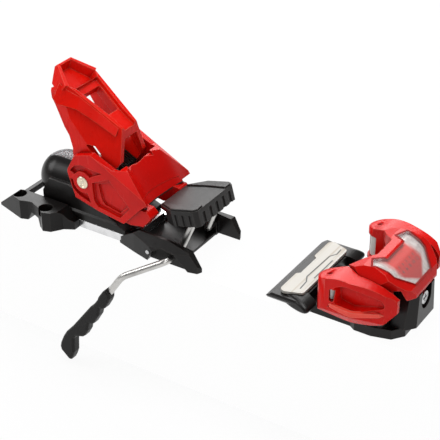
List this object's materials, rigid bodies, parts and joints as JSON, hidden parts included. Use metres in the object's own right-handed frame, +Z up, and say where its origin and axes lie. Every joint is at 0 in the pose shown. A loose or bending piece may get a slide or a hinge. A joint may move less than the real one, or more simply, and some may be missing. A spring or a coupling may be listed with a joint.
{
  "type": "ski binding",
  "caption": "Release ski binding: toe piece with swinging wings, stepped-in heel piece on a track, and a ski brake with pedal and claw arms.",
  "frame": {"origin": "on the ski's top face, at the centre of the toe piece's four screws, midway between the toe rollers", "axes": "+X towards the ski's tip, +Y to the skier's left, +Z up from the ski"},
  "size_m": [0.333, 0.109, 0.2184],
  "materials": {
    "black_plastic": "satin",
    "red_plastic": "satin",
    "clear_plastic": "clear",
    "steel": "bright",
    "spring_steel": "bright",
    "boot_plate_steel": "brushed",
    "pale_plastic": "satin",
    "grey_plastic": "matte",
    "pointer_red": "matte",
    "pedal_plastic": "matte"
  },
  "bodies": {
    "base": {"toe_base": "black_plastic", "afd_carrier": "black_plastic", "toe_housing": "red_plastic", "toe_lens": "clear_plastic", "wing_hinge_pins": "steel", "toe_spring": "spring_steel", "heel_track": "steel", "heel_bracket": "black_plastic", "brake_base": "black_plastic", "brake_pins": "steel"},
    "boot_plate": {"afd_plate": "boot_plate_steel"},
    "wing_right": {"wing_right": "red_plastic", "roller_pin_right": "steel"},
    "wing_left": {"wing_left": "red_plastic", "roller_pin_left": "steel"},
    "roller_right": {"roller_right": "pale_plastic"},
    "roller_left": {"roller_left": "pale_plastic"},
    "toe_yoke": {"toe_yoke": "grey_plastic"},
    "toe_seat": {"toe_spring_seat": "pointer_red"},
    "toe_screw": {"toe_adjust_screw": "steel"},
    "carriage": {"heel_carriage": "black_plastic", "scale_window": "clear_plastic", "heel_spring": "spring_steel"},
    "length_screw": {"length_screw": "steel"},
    "jaw": {"heel_jaw": "red_plastic", "jaw_axle": "steel", "release_crank": "spring_steel", "link_pin": "steel"},
    "lever": {"heel_lever": "red_plastic"},
    "rod": {"heel_rod": "steel"},
    "heel_seat": {"heel_spring_seat": "pointer_red"},
    "heel_nut": {"heel_adjust_nut": "steel"},
    "brake_arms": {"brake_wire_left": "spring_steel", "brake_wire_right": "spring_steel", "brake_grip_left": "black_plastic", "brake_grip_right": "black_plastic"},
    "brake_pedal": {"brake_pedal": "pedal_plastic"}
  },
  "joints": [
    {"name": "boot_plate_slide", "type": "slide", "parent": "base", "child": "boot_plate", "axis": [0, 1, 0], "range_m": [-0.005, 0.005]},
    {"name": "wing_right_swing", "type": "hinge", "parent": "base", "child": "wing_right", "pos_m": [0.03, -0.02, 0], "axis": [0, 0, 1], "range_deg": [0, 25], "stiffness_Nm_per_rad": 12, "springref_deg": -4.58, "deforming": ["toe_spring"]},
    {"name": "wing_left_swing", "type": "hinge", "parent": "base", "child": "wing_left", "pos_m": [0.03, 0.02, 0], "axis": [0, 0, -1], "range_deg": [0, 25]},
    {"name": "roller_right_spin", "type": "hinge", "parent": "wing_right", "child": "roller_right", "pos_m": [0, -0.035, 0.0277], "axis": [0, 0, 1], "continuous": true},
    {"name": "roller_left_spin", "type": "hinge", "parent": "wing_left", "child": "roller_left", "pos_m": [0, 0.035, 0.0277], "axis": [0, 0, 1], "continuous": true},
    {"name": "toe_yoke_slide", "type": "slide", "parent": "base", "child": "toe_yoke", "axis": [-1, 0, 0], "range_m": [0, 0.00568]},
    {"name": "toe_preload_slide", "type": "slide", "parent": "toe_yoke", "child": "toe_seat", "axis": [-1, 0, 0], "range_m": [0, 0.003], "deforming": ["toe_spring"]},
    {"name": "toe_screw_turn", "type": "hinge", "parent": "toe_seat", "child": "toe_screw", "pos_m": [0.048, 0, 0.023], "axis": [1, 0, 0], "range_deg": [0, 540]},
    {"name": "carriage_slide", "type": "slide", "parent": "base", "child": "carriage", "axis": [1, 0, 0], "range_m": [-0.0045, 0.0055]},
    {"name": "length_screw_turn", "type": "hinge", "parent": "carriage", "child": "length_screw", "pos_m": [-0.2475, 0, 0.0039], "axis": [1, 0, 0], "range_deg": [-410, 500]},
    {"name": "jaw_swing", "type": "hinge", "parent": "carriage", "child": "jaw", "pos_m": [-0.2033, 0, 0.0418], "axis": [0, 1, 0], "range_deg": [-35, 0], "deforming": ["heel_spring"]},
    {"name": "lever_swing", "type": "hinge", "parent": "jaw", "child": "lever", "pos_m": [-0.2033, 0, 0.0418], "axis": [0, 1, 0], "range_deg": [-10, 0]},
    {"name": "release_rod_slide", "type": "slide", "parent": "carriage", "child": "rod", "axis": [1, 0, 0], "range_m": [0, 0.0109]},
    {"name": "heel_preload_slide", "type": "slide", "parent": "rod", "child": "heel_seat", "axis": [1, 0, 0], "range_m": [0, 0.004], "deforming": ["heel_spring"]},
    {"name": "heel_screw_turn", "type": "hinge", "parent": "heel_seat", "child": "heel_nut", "pos_m": [-0.2535, 0, 0.0242], "axis": [1, 0, 0], "range_deg": [0, 720]},
    {"name": "brake_swing", "type": "hinge", "parent": "base", "child": "brake_arms", "pos_m": [-0.1275, 0, 0.0055], "axis": [0, 1, 0], "range_deg": [0, 66], "stiffness_Nm_per_rad": 1.2, "springref_deg": -22.92},
    {"name": "brake_pedal_tilt", "type": "hinge", "parent": "brake_arms", "child": "brake_pedal", "pos_m": [-0.1135, 0, 0.0385], "axis": [0, 1, 0], "range_deg": [-51.5, 0]}
  ],
  "couplings": [
    {"joint": "wing_left_swing", "follows": "wing_right_swing", "ratio": 1},
    {"joint": "toe_yoke_slide", "follows": "wing_right_swing", "m_per_rad": 0.013},
    {"joint": "toe_screw_turn", "follows": "toe_preload_slide", "rad_per_m": 3141.6},
    {"joint": "length_screw_turn", "follows": "carriage_slide", "rad_per_m": 1570.8},
    {"joint": "release_rod_slide", "follows": "jaw_swing", "m_per_rad": -0.01773},
    {"joint": "heel_screw_turn", "follows": "heel_preload_slide", "rad_per_m": 3141.6},
    {"joint": "brake_pedal_tilt", "follows": "brake_swing", "ratio": -0.779}
  ]
}
